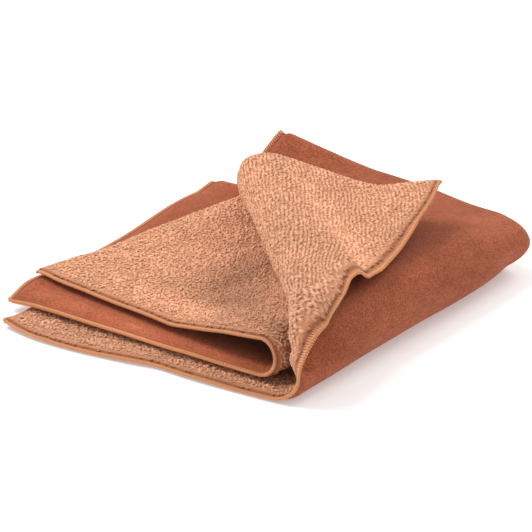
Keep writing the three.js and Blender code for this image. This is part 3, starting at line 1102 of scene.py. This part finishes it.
overlock = overlock_tree()
looper_thread = thread_finish(
    "looper_thread", (0.57, 0.225, 0.092), (0.87, 0.405, 0.185), (0.64, 0.53, 0.49)
)
for name, length, place in edges:
    end = corner_cut if name in ("left", "right") else seam_width
    coils = []
    for width, pitch, height, radius, points in looper_coils:
        for coil_length, where, start in (
            (length - 2 * end - wrap_lean * width, place, end),
            (corner_coil_length, lambda inset, run: place(*across_corner(inset, run)), 0.0),
        ):
            wraps = grown(
                overlock,
                "overlock_" + name,
                edge_length=coil_length,
                wrap_pitch=pitch,
                seam_width=width,
                wrap_height=height,
                wrap_lean=wrap_lean,
                wrap_power=wrap_power,
                wrap_points=points,
                thread_radius=radius,
                thread_sides=thread_sides,
                material=looper_thread,
            )
            coils.append(lay_along(wraps, where, 0.0, start))
    piece = fold_mesh("overlock_" + name, joined(coils))
    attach(piece, "root")
    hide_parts("looper_threads_" + name)


# The needle thread: the row of stitches on the suede side that locks the looper
# threads and both plies, just inside the wraps.
stitch_pitch = 1.12 * mm
stitch_radius = 0.16 * mm
stitch_depth = 0.3 * mm
stitch_inset = 2.35 * mm
stitch_height = -0.5 * mm
stitch_share = 0.95
stitch_bow = 0.6
stitch_steps = 5


def stitch_row_tree():
    """Geometry tree: a row of stitches along Y, each an arch of thread."""
    tree, given = tree_with(
        "needle_stitches",
        Float=(
            "Row Length",
            "Stitch Pitch",
            "Stitch Depth",
            "Stitch Share",
            "Stitch Bow",
            "Thread Radius",
        ),
        Int=("Stitch Steps", "Thread Sides"),
        Material=("Material",),
    )
    count = maths(tree, "DIVIDE", given["Row Length"], given["Stitch Pitch"])
    row = put(
        tree,
        "GeometryNodeMeshLine",
        [
            ("Count", maths(tree, "FLOOR", count)),
            ("Offset", combined(tree, y=given["Stitch Pitch"])),
        ],
    )
    length = maths(tree, "MULTIPLY", given["Stitch Pitch"], given["Stitch Share"])
    bow = combined(
        tree,
        maths(tree, "MULTIPLY", given["Thread Radius"], given["Stitch Bow"]),
        maths(tree, "MULTIPLY", given["Stitch Pitch"], 0.5),
        maths(tree, "MULTIPLY", given["Stitch Depth"], -2.0),
    )
    arch = put(
        tree,
        "GeometryNodeCurveQuadraticBezier",
        [
            ("Resolution", given["Stitch Steps"]),
            ("Start", (0.0, 0.0, 0.0)),
            ("Middle", bow),
            ("End", combined(tree, y=length)),
        ],
    )
    stitch = thread_along(tree, arch.outputs[0], given["Thread Sides"], given["Thread Radius"])
    feeds = [("Points", row.outputs[0]), ("Instance", stitch)]
    stitches = put(tree, "GeometryNodeInstanceOnPoints", feeds)
    close_tree(tree, stitches.outputs[0], given["Material"])
    return tree


stitch_row = stitch_row_tree()
needle_thread = thread_finish(
    "needle_thread", (0.30, 0.10, 0.045), (0.50, 0.19, 0.09), unchanged
)
for name, length, place in edges:
    row = grown(
        stitch_row,
        "stitches_" + name,
        row_length=length - 2 * stitch_inset,
        stitch_pitch=stitch_pitch,
        stitch_depth=stitch_depth,
        stitch_share=stitch_share,
        stitch_bow=stitch_bow,
        stitch_steps=stitch_steps,
        thread_radius=stitch_radius,
        thread_sides=thread_sides,
        material=needle_thread,
    )
    row.transform(Matrix.Translation((stitch_inset, 0, 0)))
    piece = fold_mesh("stitches_" + name, lay_along(row, place, stitch_height, stitch_inset))
    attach(piece, "root")
    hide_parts("needle_thread_" + name)


# The studio: a pale floor under large soft lights, and the camera where the
# photographer stood.
floor_half = 4.0
floor_glow = 0.28
room_light = 0.68
room_white = 1.0
floor_mesh = bpy.data.meshes.new("floor")
floor_corners = ((-1, -1), (1, -1), (1, 1), (-1, 1))
floor_mesh.from_pydata(
    [(x * floor_half, y * floor_half, 0) for x, y in floor_corners], [], [(0, 1, 2, 3)]
)
floor = bpy.data.objects.new("floor", floor_mesh)
bpy.context.scene.collection.objects.link(floor)
floor_paint, floor_tree = new_material("pale_floor")
floor_skin = put(
    floor_tree,
    "ShaderNodeBsdfPrincipled",
    [
        ("Base Color", (0.86, 0.86, 0.855, 1)),
        ("Roughness", 0.75),
        ("Emission Color", (1.0, 1.0, 1.0, 1.0)),
        ("Emission Strength", floor_glow),
    ],
)
put(floor_tree, "ShaderNodeOutputMaterial", [("Surface", floor_skin.outputs[0])])
floor_mesh.materials.append(floor_paint)

world = bpy.data.worlds.new("studio")
bpy.context.scene.world = world
world.use_nodes = True
background = world.node_tree.nodes["Background"].inputs
background["Color"].default_value = (1, 0.99, 0.98, 1)
# The room lights the cloth softly and looks white to the camera.
seen = put(world.node_tree, "ShaderNodeLightPath").outputs["Is Camera Ray"]
glow = mapped(world.node_tree, seen, (0.0, 1.0), (room_light, room_white))
world.node_tree.links.new(glow, background["Strength"])
lamp_target = (0, 0, 0.02)


def softbox(name, place, width, power):
    lamp = bpy.data.lights.new(name, "AREA")
    lamp.shape = "SQUARE"
    lamp.size = width
    lamp.energy = power
    holder = bpy.data.objects.new(name, lamp)
    holder.location = place
    aim = Vector(lamp_target) - Vector(place)
    holder.rotation_euler = aim.to_track_quat("-Z", "Y").to_euler()
    bpy.context.scene.collection.objects.link(holder)


softbox("key_softbox", (-0.75, -0.15, 1.15), 0.7, 12.0)
softbox("back_softbox", (0.35, 0.95, 1.0), 0.8, 6.0)

camera_aim = Vector((79.49 * mm - outline_centre[0], 79.0 * mm - outline_centre[1], 15 * mm))
camera_azimuth = math.radians(30.79)
camera_elevation = math.radians(24.77)
camera_distance = 1.3051
# The picture's width and the lens's focal length, in pixels.
picture_width = 532
focal_length = 3128.48
camera_back = Vector(
    (
        math.sin(camera_azimuth) * math.cos(camera_elevation),
        -math.cos(camera_azimuth) * math.cos(camera_elevation),
        math.sin(camera_elevation),
    )
)
camera = bpy.data.cameras.new("camera")
camera.sensor_width = 36.0
camera.lens = camera.sensor_width * focal_length / picture_width
camera.clip_end = 50
viewer = bpy.data.objects.new("camera", camera)
viewer.location = camera_aim + camera_distance * camera_back
viewer.rotation_euler = (-camera_back).to_track_quat("-Z", "Y").to_euler()
bpy.context.scene.collection.objects.link(viewer)
bpy.context.scene.camera = viewer
bpy.context.scene.view_settings.view_transform = "Standard"

bpy.context.view_layer.update()
